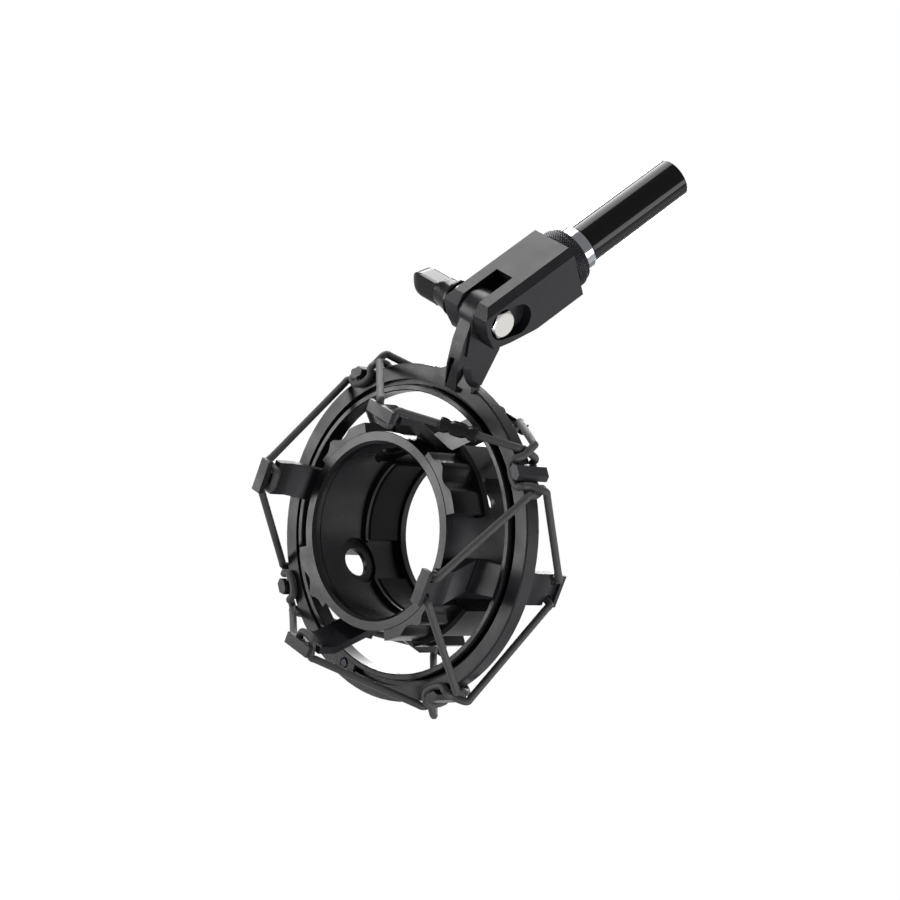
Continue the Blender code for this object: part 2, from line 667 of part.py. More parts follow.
def build_block():
    bottom = -(TUBE_DROP + BLOCK_TOP + TUBE_DROP)
    bm = bmesh.new()
    nose = BLOCK_NOSE
    outline = [(3.9 - nose, BLOCK_TOP), (0.6 - nose, 5.2), (-nose, -0.3), (0.9 - nose, -5.8)]
    outline += [(0.8, -7.6), (9.4, -9.3), (SLOT_DEPTH + 1, bottom + 2.0), (SLOT_DEPTH + 3.5, bottom)]
    outline += [(BLOCK_LENGTH, bottom), (BLOCK_LENGTH, BLOCK_TOP)]
    add_prism(bm, BOLT_FRAME, outline, -BLOCK_HALF, BLOCK_HALF)
    block = piece("adapter_block", bm, MOULDED, PIVOT)

    bm = bmesh.new()
    cut = BLOCK_CHAMFER
    side, top = BLOCK_HALF + 0.5, BLOCK_TOP + 0.5
    base = bottom - 0.5
    trim = cut + 1.0
    section = [(side, top - trim), (side - trim, top), (trim - side, top), (-side, top - trim)]
    section += [(-side, base + trim), (trim - side, base), (side - trim, base), (side, base + trim)]
    add_prism(bm, (PIVOT, X, N, T), section, -BLOCK_TOP - 4, BLOCK_LENGTH + 2)
    shape(block, tool("block_section", bm), "INTERSECT")

    bm = bmesh.new()
    wide = STEM_PAD_HALF + RUN
    slot = [(-BLOCK_TOP - 4, bottom - 4), (SLOT_DEPTH, bottom - 4), (SLOT_DEPTH, BLOCK_TOP + 4)]
    slot += [(-BLOCK_TOP - 4, BLOCK_TOP + 4)]
    add_prism(bm, BOLT_FRAME, slot, -wide, wide)
    shape(block, tool("fork_slot", bm), "DIFFERENCE")

    bm = bmesh.new()
    add_round(bm, BOLT_FRAME, BOLT_R + GAP, -BLOCK_HALF - 2, BLOCK_HALF + 2)
    shape(block, tool("block_bolt_hole", bm), "DIFFERENCE")

    bm = bmesh.new()
    fall = degrees(atan2(POCKET_FALL, POCKET_RUN))
    pocket = arc_points(0, 0, POCKET_R + 0.15, 90 - fall, 270 - fall, 14)
    pocket += arc_points(POCKET_RUN, -POCKET_FALL, POCKET_R + 0.15, -90 - fall, 90 - fall, 14)
    add_prism(bm, BOLT_FRAME, pocket, HEAD_SEAT, BLOCK_HALF + 2)
    shape(block, tool("head_pocket", bm), "DIFFERENCE")

    bm = bmesh.new()
    add_round(bm, TUBE_FRAME, THREAD_R + GAP, SPIGOT_START - 0.5, BLOCK_LENGTH + 2, 40)
    shape(block, tool("thread_bore", bm), "DIFFERENCE")
    return block


def build_bolt():
    bm = bmesh.new()
    under = HEAD_SEAT + GAP
    add_turned(bm, BOLT_FRAME, [(0, BOLT_END), (BOLT_R - 0.4, BOLT_END), (BOLT_R, BOLT_END + 0.4),
                                (BOLT_R, under + 1), (0, under + 1)], 32)
    bolt = piece("pivot_bolt", bm, BRIGHT, PIVOT)
    bm = bmesh.new()
    add_prism(bm, BOLT_FRAME, hexagon(HEAD_FLATS / 3 ** 0.5, HEAD_TURN), under, under + HEAD_HEIGHT)
    shape(bolt, tool("bolt_head", bm), "UNION")
    return bolt


def build_washer():
    bm = bmesh.new()
    low, high = WASHER_AT - WASHER_THICK, WASHER_AT
    bore = BOLT_R + GAP
    add_turned(bm, BOLT_FRAME, [(bore, low), (WASHER_R, low), (WASHER_R, high), (bore, high)], 40)
    return piece("lever_washer", bm, BRIGHT, PIVOT)


def build_lever():
    turn = radians(WING_TURN - TILT)
    bm = bmesh.new()
    profile = [(0, HUB_AT), (HUB_R - 0.4, HUB_AT), (HUB_R, HUB_AT - 0.5), (HUB_R, HUB_END + 0.8)]
    profile += [(HUB_R - 1.4, HUB_END - 1.2), (0, HUB_END - 1.4)]
    add_turned(bm, BOLT_FRAME, profile, 40)
    lever = piece("wing_lever", bm, MOULDED, PIVOT)

    wide = T * cos(turn) + N * sin(turn)
    thick = N * cos(turn) - T * sin(turn)
    bm = bmesh.new()
    tip = WING_END + WING_TIP_HALF
    outline = [(HUB_AT - 3.2, -WING_HALF), (HUB_AT - 3.2, WING_HALF), (HUB_END - 2, WING_HALF)]
    outline += arc_points(tip, 0, WING_TIP_HALF, 100, 260, 12)
    outline += [(HUB_END - 2, -WING_HALF)]
    add_prism(bm, (PIVOT, X, wide, thick), outline, -WING_THICK / 2, WING_THICK / 2)
    shape(lever, tool("wing", bm), "UNION")

    bm = bmesh.new()
    add_prism(bm, BOLT_FRAME, hexagon(NUT_R + GAP), HUB_AT - NUT_LENGTH - GAP, HUB_AT + 1)
    shape(lever, tool("nut_pocket", bm), "DIFFERENCE")
    return lever


def build_lever_nut():
    bm = bmesh.new()
    add_prism(bm, BOLT_FRAME, hexagon(NUT_R), HUB_AT - NUT_LENGTH, HUB_AT)
    nut = piece("lever_nut", bm, BRIGHT, PIVOT, False)
    bm = bmesh.new()
    add_round(bm, BOLT_FRAME, BOLT_R + GAP, HUB_AT - NUT_LENGTH - 1, HUB_AT + 1)
    shape(nut, tool("nut_bore", bm), "DIFFERENCE")
    return nut


# ---------------------------------------------------------------- boom

def build_lock_ring():
    bm = bmesh.new()
    a, b = LOCK_START, LOCK_START + LOCK_LENGTH
    rim = LOCK_START + LOCK_RIM
    bore = THREAD_R + GAP
    profile = [(bore, a), (LOCK_R - 0.3, a), (LOCK_R, a + 0.3), (LOCK_R, rim - 0.3), (LOCK_R - 0.3, rim)]
    profile += [(LOCK_NECK_R, rim), (LOCK_NECK_R, b - 0.3), (LOCK_NECK_R - 0.3, b), (bore, b)]
    add_turned(bm, TUBE_FRAME, profile, 40)
    return piece("lock_ring", bm, SATIN, TUBE_AXIS + T * a)


def build_boom_tip():
    bm = bmesh.new()
    shank = TUBE_R - TUBE_WALL - GAP
    collar = COLLAR_START + COLLAR_LENGTH
    profile = [(0, SPIGOT_START), (THREAD_R - 0.7, SPIGOT_START), (THREAD_R, SPIGOT_START + 0.7)]
    profile += [(THREAD_R, COLLAR_START - GAP), (COLLAR_R, COLLAR_START), (COLLAR_R, collar - 0.4)]
    profile += [(COLLAR_R - 0.4, collar), (shank, collar), (shank, TUBE_START + 9), (shank - 0.6, TUBE_START + 10)]
    profile += [(0, TUBE_START + 10)]
    add_turned(bm, TUBE_FRAME, profile, 32)
    return piece("boom_tip", bm, CHROME)


def build_boom_tube():
    bm = bmesh.new()
    inner = TUBE_R - TUBE_WALL
    profile = [(inner, TUBE_START), (TUBE_R - 0.2, TUBE_START), (TUBE_R, TUBE_START + 0.2)]
    profile += [(TUBE_R, BOOM_END), (inner, BOOM_END)]
    add_turned(bm, TUBE_FRAME, profile, 64)
    return piece("boom_tube", bm, ENAMEL)


clear_scene()
build_ring()
build_hoop()
build_hoop_screw()
build_sleeve()
build_grip_pads()
build_twist_ring()
build_cord("cord_front", -1)
build_cord("cord_rear", 1)
build_ferrule("ferrule_front", -1, 90, 1)
build_ferrule("ferrule_rear", 1, 270, -1)
build_block()
build_bolt()
build_washer()
build_lever()
build_lever_nut()
build_lock_ring()
build_boom_tip()
build_boom_tube()
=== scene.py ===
# %% [markdown]
# # Elastic suspension mount for a studio microphone
# The real object is a round cradle hung on two elastic cords inside a moulded ring. A stem and a
# forked block carry the ring on the end of a boom tube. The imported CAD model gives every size
# and every moving body. This file dresses it: real cords, rounded edges, knurls and finishes.

# %% Load the frame
import bpy
import bmesh
import json
import numpy as np
from math import pi, sin, cos, radians
from mathutils import Matrix, Quaternion, Vector


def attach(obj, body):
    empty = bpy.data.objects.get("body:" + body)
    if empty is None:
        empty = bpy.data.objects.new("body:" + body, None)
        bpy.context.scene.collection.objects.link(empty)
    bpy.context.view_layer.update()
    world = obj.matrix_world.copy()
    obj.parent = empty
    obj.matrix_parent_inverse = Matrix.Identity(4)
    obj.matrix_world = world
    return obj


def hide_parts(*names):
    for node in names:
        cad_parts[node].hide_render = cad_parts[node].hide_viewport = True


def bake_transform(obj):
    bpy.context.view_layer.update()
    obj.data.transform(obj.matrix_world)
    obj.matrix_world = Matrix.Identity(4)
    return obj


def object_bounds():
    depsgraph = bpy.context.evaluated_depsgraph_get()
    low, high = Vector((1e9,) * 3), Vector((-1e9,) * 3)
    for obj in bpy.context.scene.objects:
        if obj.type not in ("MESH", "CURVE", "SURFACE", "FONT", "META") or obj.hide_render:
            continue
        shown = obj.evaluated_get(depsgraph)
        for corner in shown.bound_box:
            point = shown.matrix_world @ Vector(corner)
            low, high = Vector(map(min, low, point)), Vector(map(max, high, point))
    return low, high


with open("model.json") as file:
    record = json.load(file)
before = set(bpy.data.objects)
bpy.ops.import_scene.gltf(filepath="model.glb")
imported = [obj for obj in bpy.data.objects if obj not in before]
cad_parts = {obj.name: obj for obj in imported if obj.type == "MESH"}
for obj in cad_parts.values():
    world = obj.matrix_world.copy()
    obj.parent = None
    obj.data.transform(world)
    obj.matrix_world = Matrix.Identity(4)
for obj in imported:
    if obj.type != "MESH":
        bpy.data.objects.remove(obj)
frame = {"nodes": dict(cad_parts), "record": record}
CAD_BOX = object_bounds()
print("box", CAD_BOX)

# %% [markdown]
# ## Camera
# The view is a longish studio lens, low on the front right, with the camera rolled so that the
# mount hangs at an angle. An azimuth, an elevation and a roll say that more plainly than a
# matrix, so the camera's three directions are worked out from them.

# %% Camera
AZIMUTH, ELEVATION, ROLL = 41.65, 14.49, 19.95      # degrees
CAMERA_PLACE = (0.4855, -0.6005, 0.0927)            # metres, in the model's frame
LENS_MM, SENSOR_MM = 98.9, 36.0


def camera_axes(azimuth, elevation, roll):
    """Right, up and back: the level view directions, then turned by the roll about the view."""
    a, e, r = radians(azimuth), radians(elevation), radians(roll)
    level = Vector((cos(a), sin(a), 0))
    ahead = Vector((-sin(a) * cos(e), cos(a) * cos(e), -sin(e)))
    top = level.cross(ahead)
    right = level * cos(r) + top * sin(r)
    up = top * cos(r) - level * sin(r)
    return right, up, -ahead


camera_data = bpy.data.cameras.new("camera")
camera_data.lens = LENS_MM
camera_data.sensor_width = SENSOR_MM
camera_data.clip_start = 0.01
camera = bpy.data.objects.new("camera", camera_data)
bpy.context.scene.collection.objects.link(camera)
camera.matrix_world = Matrix.Translation(CAMERA_PLACE) @ Matrix(
    camera_axes(AZIMUTH, ELEVATION, ROLL)).transposed().to_4x4()
bpy.context.scene.camera = camera
print("camera", CAMERA_PLACE, "lens", LENS_MM)

# %% [markdown]
# ## Colours and nodes
# Paint and moulding colours are written as the hex values a designer reads off a chip, which are
# sRGB. Shaders want linear light, so one function converts them. One more adds a node, sets it
# and links it, which keeps every material below short enough to read.

# %% Colour and node helpers
MM = 0.001


def linear(code):
    """sRGB hex to linear RGBA: divide by 12.92 in the dark part, the 2.4 power above it."""
    parts = np.array([int(code[i:i + 2], 16) for i in (1, 3, 5)]) / 255
    light = np.where(parts <= 0.04045, parts / 12.92, ((parts + 0.055) / 1.055) ** 2.4)
    return (*light.tolist(), 1.0)


def add_node(tree, kind, inputs=None, **settings):
    """A node with its settings; an input is a value, or an output socket to link from."""
    made = tree.nodes.new(kind)
    for key, value in settings.items():
        setattr(made, key, value)
    for key, value in (inputs or {}).items():
        if isinstance(value, bpy.types.NodeSocket):
            tree.links.new(value, made.inputs[key])
        else:
            made.inputs[key].default_value = value
    return made


def new_material(name):
    """An empty material with its output and one Principled shader, ready to be fed."""
    mat = bpy.data.materials.new(name)
    mat.use_nodes = True
    mat.node_tree.nodes.clear()
    out = add_node(mat.node_tree, "ShaderNodeOutputMaterial")
    shader = add_node(mat.node_tree, "ShaderNodeBsdfPrincipled")
    mat.node_tree.links.new(shader.outputs[0], out.inputs["Surface"])
    return mat, mat.node_tree, shader


print("mid grey in linear light", round(linear("#808080")[0], 4))

# %% [markdown]
# ## Floor and daylight
# A studio cut-out has a white sweep behind it. The world is white where the camera or a
# reflection sees it, and dimmer where it only lights, so black plastic keeps its depth. The floor
# lies well below the hanging mount. Under it the paper is mostly its own white with a trace of
# shadow, and further out it is all its own white, so no line shows where floor meets backdrop.

# %% Stage
FLOOR_DROP, FLOOR_HALF = 0.30, 2.6      # below the model, and half the sheet's side, metres
WHITE_FROM, WHITE_TO = 0.25, 0.6        # distances out from the origin, metres
OWN_WHITE = 0.93                        # share of its own white that the paper has nearer in
AMBIENT = 0.2                           # strength of the world where it only lights


def seen_plainly(tree):
    """1 for a camera, glossy or transmission ray and 0 for others: the largest of the three."""
    ray = add_node(tree, "ShaderNodeLightPath")
    seen = add_node(tree, "ShaderNodeMath",
                    {0: ray.outputs["Is Camera Ray"], 1: ray.outputs["Is Glossy Ray"]},
                    operation="MAXIMUM")
    seen = add_node(tree, "ShaderNodeMath",
                    {0: seen.outputs[0], 1: ray.outputs["Is Transmission Ray"]},
                    operation="MAXIMUM")
    return seen.outputs[0]


def build_floor():
    """A flat square, one quad, under the lowest point of the model; whiter further out."""
    low, half = CAD_BOX[0][2] - FLOOR_DROP, FLOOR_HALF
    mesh = bpy.data.meshes.new("floor")
    corners = [(-half, -half, low), (half, -half, low), (half, half, low), (-half, half, low)]
    mesh.from_pydata(corners, [], [(0, 1, 2, 3)])
    floor = bpy.data.objects.new("floor", mesh)
    bpy.context.scene.collection.objects.link(floor)
    mat, tree, shader = new_material("white sweep paper")
    shader.inputs["Base Color"].default_value = linear("#f4f4f4")
    shader.inputs["Roughness"].default_value = 0.9
    glow = add_node(tree, "ShaderNodeEmission", {"Color": (1, 1, 1, 1), "Strength": 1.0})
    place = add_node(tree, "ShaderNodeTexCoord").outputs["Object"]
    level = add_node(tree, "ShaderNodeVectorMath", {0: place, 1: (1, 1, 0)}, operation="MULTIPLY")
    away = add_node(tree, "ShaderNodeVectorMath", {0: level.outputs[0]}, operation="LENGTH")
    own = add_node(tree, "ShaderNodeMapRange",
                   {"Value": away.outputs["Value"], "From Min": WHITE_FROM, "From Max": WHITE_TO,
                    "To Min": OWN_WHITE, "To Max": 1.0})
    share = add_node(tree, "ShaderNodeMath", {0: seen_plainly(tree), 1: own.outputs[0]},
                     operation="MULTIPLY")
    mix = add_node(tree, "ShaderNodeMixShader",
                   {0: share.outputs[0], 1: shader.outputs[0], 2: glow.outputs[0]})
    out = [node for node in tree.nodes if node.type == "OUTPUT_MATERIAL"][0]
    tree.links.new(mix.outputs[0], out.inputs["Surface"])
    mesh.materials.append(mat)


def build_world(dim):
    """White to the camera and to reflections, a dimmer grey where it only lights."""
    world = bpy.data.worlds.new("studio")
    world.use_nodes = True
    tree = world.node_tree
    tree.nodes.clear()
    strength = add_node(tree, "ShaderNodeMapRange",
                        {"Value": seen_plainly(tree), "To Min": dim, "To Max": 1.0})
    shade = add_node(tree, "ShaderNodeBackground",
                     {"Color": (1, 1, 1, 1), "Strength": strength.outputs[0]})
    out = add_node(tree, "ShaderNodeOutputWorld")
    tree.links.new(shade.outputs[0], out.inputs["Surface"])
    bpy.context.scene.world = world


build_floor()
build_world(AMBIENT)
bpy.context.scene.view_settings.view_transform = "Standard"
print("floor", FLOOR_DROP, "m below the model")

# %% [markdown]
# ## Lamps
# Six soft boxes do what the studio did. A tall one at the left front lights every face that looks
# forward. A long one high on the left is rolled to lie along the boom's own gloss, and draws the
# broad white line down the tube. One on the right fills the side faces, one behind it rims the
# edges, a wide weak one beside that lifts the block's flank, and one at the back keeps the rear
# readable. Each is aimed at the middle of the cradle.

# %% Lamps
CENTRE = Vector((0, -0.0599, -0.1241))       # middle of the outer ring, on the cradle's axis


def soft_box(name, azimuth, elevation, size, power, roll=0.0):
    """A rectangular area lamp one metre from the cradle, facing it and rolled about that line."""
    data = bpy.data.lights.new(name, "AREA")
    data.shape = "RECTANGLE"
    data.size, data.size_y = size
    data.energy = power
    lamp = bpy.data.objects.new(name, data)
    bpy.context.scene.collection.objects.link(lamp)
    a, e = radians(azimuth), radians(elevation)
    out = Vector((sin(a) * cos(e), -cos(a) * cos(e), sin(e)))
    lamp.location = CENTRE + out
    facing = (-out).to_track_quat("-Z", "Y") @ Quaternion((0, 0, 1), radians(roll))
    lamp.rotation_euler = facing.to_euler()


# degrees round from the front, degrees up, width and height in metres, watts
soft_box("front box", 318, -8, (0.3, 0.6), 12.0)
soft_box("strip box", 260, 49, (0.44, 0.95), 16.0, roll=-28)
soft_box("side box", 80, -15, (0.4, 0.4), 14.0)
soft_box("rim box", 121, 16, (0.35, 0.3), 4.0)
soft_box("flank box", 138, -14, (0.7, 0.7), 2.1)
soft_box("back box", 212, 5, (0.6, 0.5), 9.0)

# %% [markdown]
# ## Moulded nylon, ABS and rubber
# Glass-filled nylon is moulded in a tool whose steel was spark-eroded, which leaves a fine pebble
# of about 0.15 mm. It scatters the highlight, so edges read softly. The ABS pieces come from a
# smoother tool and shine a little more. All are one build: a dark base, a pebble in the bump, and
# slight patches of shine where hands rub it. The pebble is drawn at 0.3 to 0.4 mm, because the
# real one would be too fine to show.

# %% Moulded plastics
PATCH_MM, TONE = 9, 0.12       # size of a rubbed patch, and how far the base colour drifts


def moulded(name, code, roughness, shine_level, grain_mm, depth, patch=0.06):
    """Base colour, a fine pebble in the bump, and a slow change of roughness and tone."""
    mat, tree, shader = new_material(name)
    shader.inputs["Specular IOR Level"].default_value = shine_level
    place = add_node(tree, "ShaderNodeTexCoord").outputs["Object"]
    grain = add_node(tree, "ShaderNodeTexNoise",
                     {"Vector": place, "Scale": 1 / (grain_mm * MM), "Detail": 3.0,
                      "Roughness": 0.6})
    slow = add_node(tree, "ShaderNodeTexNoise",
                    {"Vector": place, "Scale": 1 / (PATCH_MM * MM), "Detail": 3.0})
    shine = add_node(tree, "ShaderNodeMapRange",
                     {"Value": slow.outputs[0], "From Min": 0.35, "From Max": 0.65,
                      "To Min": roughness - patch, "To Max": roughness + patch})
    tint = add_node(tree, "ShaderNodeMapRange",
                    {"Value": slow.outputs[0], "From Min": 0.3, "From Max": 0.7,
                     "To Min": 1 - TONE, "To Max": 1 + TONE})
    colour = add_node(tree, "ShaderNodeVectorMath",
                      {0: linear(code)[:3], "Scale": tint.outputs[0]}, operation="SCALE")
    bump = add_node(tree, "ShaderNodeBump",
                    {"Height": grain.outputs[0], "Strength": depth, "Distance": 0.05 * MM})
    tree.links.new(colour.outputs[0], shader.inputs["Base Color"])
    tree.links.new(shine.outputs[0], shader.inputs["Roughness"])
    tree.links.new(bump.outputs[0], shader.inputs["Normal"])
    return mat


# a grainy charcoal whose edges glow softly
NYLON = moulded("glass-filled nylon, spark-eroded", "#18181b", 0.32, 0.10, 0.35, 0.6)
# the same stuff from a polished tool: blacker, with a cleaner highlight
SMOOTH_NYLON = moulded("glass-filled nylon, polished tool", "#060607", 0.22, 0.14, 0.35, 0.03)
# a satin black, smoother than the nylon
ABS = moulded("ABS, satin moulded", "#101012", 0.24, 0.09, 0.4, 0.35)
# dull, with hardly a highlight
RUBBER = moulded("silicone rubber, moulded", "#111113", 0.62, 0.06, 0.3, 0.4, 0.03)
print("plastics", NYLON.name, SMOOTH_NYLON.name, ABS.name, RUBBER.name)

# %% [markdown]
# ## Metals and enamel
# The collar is chrome plate: a mirror with the faintest haze. The bolt, nut and washer are
# nickel-plated steel, turned and then tumbled, so they are softer than chrome. The lock ring and
# the small screw are steel with a black oxide, which keeps a dull metal shine. The boom is steel
# tube dipped in gloss black enamel.

# %% Metals and enamel
def plated(name, code, roughness, turn_mm, depth):
    """Metal with fine tumbling marks: one noise moves the roughness a little and the bump less."""
    mat, tree, shader = new_material(name)
    place = add_node(tree, "ShaderNodeTexCoord").outputs["Object"]
    marks = add_node(tree, "ShaderNodeTexNoise",
                     {"Vector": place, "Scale": 1 / (turn_mm * MM), "Detail": 4.0})
    shine = add_node(tree, "ShaderNodeMapRange",
                     {"Value": marks.outputs[0], "From Min": 0.3, "From Max": 0.7,
                      "To Min": roughness * 0.75, "To Max": roughness * 1.3})
    bump = add_node(tree, "ShaderNodeBump",
                    {"Height": marks.outputs[0], "Strength": depth, "Distance": 0.03 * MM})
    shader.inputs["Base Color"].default_value = linear(code)
    shader.inputs["Metallic"].default_value = 1.0
    tree.links.new(shine.outputs[0], shader.inputs["Roughness"])
    tree.links.new(bump.outputs[0], shader.inputs["Normal"])
    return mat


def enamel(name, code):
    """A glossy near-black with the slight orange peel of a dipped finish, humps 2.5 mm apart."""
    mat, tree, shader = new_material(name)
    place = add_node(tree, "ShaderNodeTexCoord").outputs["Object"]
    peel = add_node(tree, "ShaderNodeTexNoise",
                    {"Vector": place, "Scale": 1 / (2.5 * MM), "Detail": 2.0})
    bump = add_node(tree, "ShaderNodeBump",
                    {"Height": peel.outputs[0], "Strength": 0.12, "Distance": 0.05 * MM})
    shader.inputs["Base Color"].default_value = linear(code)
    shader.inputs["Roughness"].default_value = 0.09
    shader.inputs["Specular IOR Level"].default_value = 0.08
    tree.links.new(bump.outputs[0], shader.inputs["Normal"])
    return mat


# mirrors the room, and the knurl beside it
CHROME = plated("chrome plate, polished", "#6c6e71", 0.12, 0.8, 0.02)
# a soft, slightly warm grey glint
NICKEL = plated("nickel-plated steel, tumbled", "#949390", 0.26, 0.5, 0.25)
# deep black with one hard white line
ENAMEL = enamel("gloss enamel, dipped", "#050506")
# dark, yet with the shine of metal
BLACK_STEEL = plated("steel, black oxide", "#1c1c1f", 0.34, 0.5, 0.2)
print("metals", CHROME.name, NICKEL.name, BLACK_STEEL.name, "and", ENAMEL.name)

# %% [markdown]
# ## Rounding the moulded pieces
# The CAD solids have knife edges, and no moulding does: its corners carry a radius of a few
# tenths of a millimetre that catch a thin line of light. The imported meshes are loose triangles,
# so each is welded first and then bevelled only where two faces meet at a real corner.

# %% Rounded edges
ROUNDED = {       # node: edge radius in mm, and finish
    "suspension_ring": (0.45, NYLON), "cradle_sleeve": (0.35, NYLON), "twist_ring": (0.35, ABS),
    "inner_hoop": (0.2, ABS), "adapter_block": (0.6, NYLON), "boom_tip": (0.15, CHROME),
    "boom_tube": (0.1, ENAMEL), "hoop_screw": (0.12, BLACK_STEEL), "lever_washer": (0.12, NICKEL),
    "lever_nut": (0.15, NICKEL),
}
for pad in range(1, 5):
    ROUNDED["grip_pad_%d" % pad] = (0.25, RUBBER)
WELD_MM = 0.002           # points nearer than this are one
FLAT_DEGREES = 0.8        # faces closer to flat than this become one
CORNER_DEGREES = 35       # a corner sharper than this is rounded


def body_of_node(node):
    """The CAD body that a node belongs to."""
    bodies = frame["record"]["behaviour"]["bodies"]
    return [name for name, nodes in bodies.items() if node in nodes][0]


def place_piece(ob, node, mat):
    """Link a piece, give it its finish, and hide the CAD node that it stands for."""
    bpy.context.scene.collection.objects.link(ob)
    ob.data.materials.append(mat)
    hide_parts(node)
    return ob


def round_edges(node, radius_mm, mat):
    """A merged copy of the node; a two-segment bevel on its corners; area-weighted normals."""
    work = bmesh.new()
    work.from_mesh(frame["nodes"][node].data)
    bmesh.ops.remove_doubles(work, verts=work.verts, dist=WELD_MM * MM)
    bmesh.ops.dissolve_limit(work, angle_limit=radians(FLAT_DEGREES), verts=work.verts,
                             edges=work.edges)
    for face in work.faces:
        face.smooth = True
    mesh = bpy.data.meshes.new(node + "_moulding")
    work.to_mesh(mesh)
    work.free()
    ob = bpy.data.objects.new(node + "_moulding", mesh)
    bevel = ob.modifiers.new("edge radius", "BEVEL")
    bevel.width = radius_mm * MM
    bevel.segments = 2
    bevel.limit_method = "ANGLE"
    bevel.angle_limit = radians(CORNER_DEGREES)
    bevel.use_clamp_overlap = True
    bevel.miter_outer = "MITER_ARC"
    normals = ob.modifiers.new("weighted normals", "WEIGHTED_NORMAL")
    normals.mode = "FACE_AREA"
    normals.weight = 80
    split = ob.modifiers.new("triangles", "TRIANGULATE")
    split.keep_custom_normals = True
    place_piece(ob, node, mat)
    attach(ob, body_of_node(node))


for node, (radius_mm, mat) in ROUNDED.items():
    round_edges(node, radius_mm, mat)
print("rounded", len(ROUNDED), "nodes")

# %% [markdown]
# ## Surfaces from grids
# Every new piece is a sheet of points in rows and columns, worked out as whole numpy arrays. Rows
# run along the piece and columns go round it. A ring-like piece joins its last row to its first,
# and a solid one gets a single point at each end, so that no seam or pole stays open.

# %% Grid to mesh
def grid_piece(name, points, ring=False, attribute=None):
    """Quads between neighbouring rows and columns; columns always close, rows close in a ring."""
    rows, cols = points.shape[:2]
    flat = points.reshape(-1, 3)
    i, j = np.meshgrid(np.arange(rows if ring else rows - 1), np.arange(cols), indexing="ij")
    below, side = (i + 1) % rows, (j + 1) % cols
    quads = np.stack([i * cols + j, i * cols + side, below * cols + side, below * cols + j], -1)
    faces = quads.reshape(-1, 4).tolist()
    if not ring:
        flat = np.vstack([flat, points[0].mean(0), points[-1].mean(0)])
        k = np.arange(cols)
        first, last = rows * cols, rows * cols + 1
        faces += np.stack([(k + 1) % cols, k, np.full(cols, first)], -1).tolist()
        end = (rows - 1) * cols
        faces += np.stack([end + k, end + (k + 1) % cols, np.full(cols, last)], -1).tolist()
    mesh = bpy.data.meshes.new(name)
    mesh.from_pydata(flat.tolist(), [], faces)
    if attribute is not None:
        # a float on the points; the braid puts its weave here as the mask of its painted shade
        layer = mesh.attributes.new("painted_weave_shade", "FLOAT", "POINT")
        layer.data.foreach_set("value", np.resize(attribute, len(flat)).astype(np.float32))
    work = bmesh.new()
    work.from_mesh(mesh)
    bmesh.ops.recalc_face_normals(work, faces=work.faces)
    work.to_mesh(mesh)
    work.free()
    mesh.polygons.foreach_set("use_smooth", np.ones(len(mesh.polygons), bool))
    mesh.update()
    return bpy.data.objects.new(name, mesh)


def sharpen(ob, degrees_limit):
    """Mark the edges sharper than a limit, so that smooth shading stops there."""
    work = bmesh.new()
    work.from_mesh(ob.data)
    for edge in work.edges:
        if len(edge.link_faces) == 2 and edge.calc_face_angle(0.0) > radians(degrees_limit):
            edge.smooth = False
    work.to_mesh(ob.data)
    work.free()
    return ob


print("helpers", grid_piece.__name__, "and", sharpen.__name__)

# %% [markdown]
# ## Elastic cords: the route
# Each cord is one closed loop of round elastic in a woven sheath, 2.3 mm across. From an arm it
# runs over the rim beside a peg and hooks round the far end of that peg, and back to the next
# arm. Where two cords meet on the rim, one lifts over the other. The route repeats the CAD's
# points; a smooth curve through them replaces its corners.

# %% Cord route
CORD_R, GAP = 1.15, 0.3                              # all of these in mm
RIM_R, RIM_HALF = 51.75, 3.0                         # the ring's outside, and half its depth
PEG_R, PEG_DEEP, PEG_WIDE = 52.45, 1.45, 2.7         # a peg's middle and its half sizes
ARM_R, ARM_THICK = 39.0, 2.3                         # an arm's outer face, and its thickness
NOTCH_Y, BRIDGE = 26.7, 1.6                          # the notch's place, half the bridge's width
LIFT = RIM_R + CORD_R + GAP                          # a cord's middle where it lies on the rim
HOOK_R = PEG_R - PEG_DEEP - CORD_R - GAP             # and where it passes under a peg
HOOK_Y = RIM_HALF + CORD_R + GAP                     # and beyond the ring's face
BESIDE = PEG_WIDE + CORD_R + GAP                     # and beside a peg


def polar_points(marks, angle, flank, end):
    """Marks of (radius, sideways, along Y) set out from an arm or peg at an angle on the ring."""
    r, t, y = np.array(marks).T
    turn = radians(angle)
    t = t * flank
    return np.stack([r * cos(turn) - t * sin(turn), y * end, r * sin(turn) + t * cos(turn)], -1)


def arm_marks():
    """From under an arm's bridge out through the notch beside it, to where the span begins."""
    inner = ARM_R - ARM_THICK - CORD_R - GAP
    across = BRIDGE + CORD_R + GAP
    return [(inner - 0.05, 1.5, NOTCH_Y),
            (inner + 0.35, across - 0.25, NOTCH_Y),
            (inner + 1.7, across + 0.1, NOTCH_Y),
            (ARM_R + CORD_R + GAP + 0.2, across + 1.2, NOTCH_Y - 0.1)]


